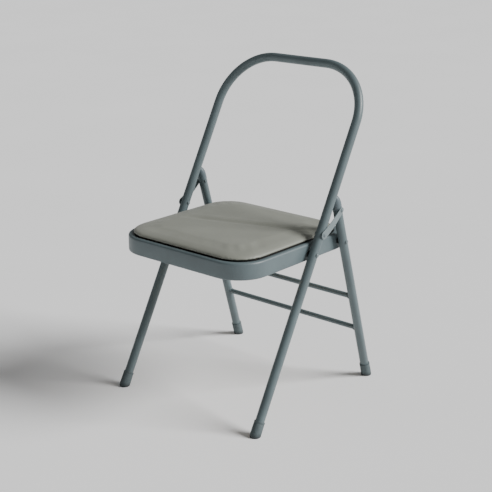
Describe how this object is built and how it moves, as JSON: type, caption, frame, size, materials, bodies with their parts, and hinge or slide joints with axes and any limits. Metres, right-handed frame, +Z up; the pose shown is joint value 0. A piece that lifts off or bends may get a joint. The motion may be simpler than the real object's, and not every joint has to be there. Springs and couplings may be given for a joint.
{
  "type": "folding chair",
  "caption": "Folding chair with a bent steel tube hoop frame, straight rear legs joined by rungs, and a padded seat in a pressed pan that folds up between the uprights.",
  "frame": {"origin": "centre of the bounding box on the floor, midway between the left and right legs", "axes": "+X across the chair, towards the side whose pieces are named right; -Y the way the sitter faces; +Z up"},
  "size_m": [0.4596, 0.4884, 0.8015],
  "materials": {
    "frame_paint": "grey-blue powder coat, satin",
    "strap_paint": "lighter grey powder coat, satin",
    "rivet_paint": "painted domed rivet steel",
    "zinc_steel": "zinc-plated steel, bright",
    "foot_rubber": "dark grey moulded rubber, matt",
    "cap_plastic": "grey moulded plastic, satin",
    "nylon": "black moulded nylon",
    "plywood": "bare plywood",
    "foam": "open-cell polyurethane foam",
    "vinyl": "warm grey synthetic leather, fine grain, soft satin"
  },
  "bodies": {
    "front_frame": {"front_hoop_tube": "frame_paint", "front_foot_left": "foot_rubber", "front_foot_right": "foot_rubber", "link_rivet_front_left": "rivet_paint", "link_rivet_front_right": "rivet_paint", "seat_rivet_front_left": "rivet_paint", "seat_rivet_front_right": "rivet_paint", "seat_washer_front_left": "nylon", "seat_washer_front_right": "nylon"},
    "seat": {"seat_pan": "frame_paint", "seat_board": "plywood", "seat_foam": "foam", "seat_cover": "vinyl", "hinge_plate_left": "zinc_steel", "hinge_plate_right": "zinc_steel", "seat_washer_rear_left": "nylon", "seat_washer_rear_right": "nylon", "pad_screw_front_left": "zinc_steel", "pad_screw_front_right": "zinc_steel", "pad_screw_rear_left": "zinc_steel", "pad_screw_rear_right": "zinc_steel"},
    "rear_frame": {"rear_leg_left": "frame_paint", "rear_leg_right": "frame_paint", "upper_stretcher": "frame_paint", "lower_stretcher": "frame_paint", "leg_cap_left": "cap_plastic", "leg_cap_right": "cap_plastic", "rear_foot_left": "foot_rubber", "rear_foot_right": "foot_rubber", "seat_rivet_rear_left": "rivet_paint", "seat_rivet_rear_right": "rivet_paint", "link_rivet_tail_left": "rivet_paint", "link_rivet_tail_right": "rivet_paint"},
    "link_left": {"link_strap_left": "strap_paint", "link_rivet_rear_left": "rivet_paint"},
    "link_right": {"link_strap_right": "strap_paint", "link_rivet_rear_right": "rivet_paint"}
  },
  "joints": [
    {"name": "seat_fold", "type": "hinge", "parent": "front_frame", "child": "seat", "pos_m": [0, -0.00528, 0.38579], "axis": [-1, 0, 0], "range_deg": [0, 107.84]},
    {"name": "rear_frame_fold", "type": "hinge", "parent": "seat", "child": "rear_frame", "pos_m": [0, 0.11235, 0.3904], "axis": [1, 0, 0], "range_deg": [0, 61.91]},
    {"name": "link_left_fold", "type": "hinge", "parent": "front_frame", "child": "link_left", "pos_m": [-0.2263, 0.01909, 0.43002], "axis": [-1, 0, 0], "range_deg": [0, 133.4]},
    {"name": "link_right_fold", "type": "hinge", "parent": "front_frame", "child": "link_right", "pos_m": [0.2263, 0.01909, 0.43002], "axis": [-1, 0, 0], "range_deg": [0, 133.4]}
  ],
  "couplings": [
    {"joint": "rear_frame_fold", "follows": "seat_fold", "ratio": 0.57365},
    {"joint": "link_left_fold", "follows": "seat_fold", "ratio": 1.2365},
    {"joint": "link_right_fold", "follows": "seat_fold", "ratio": 1.2365}
  ]
}
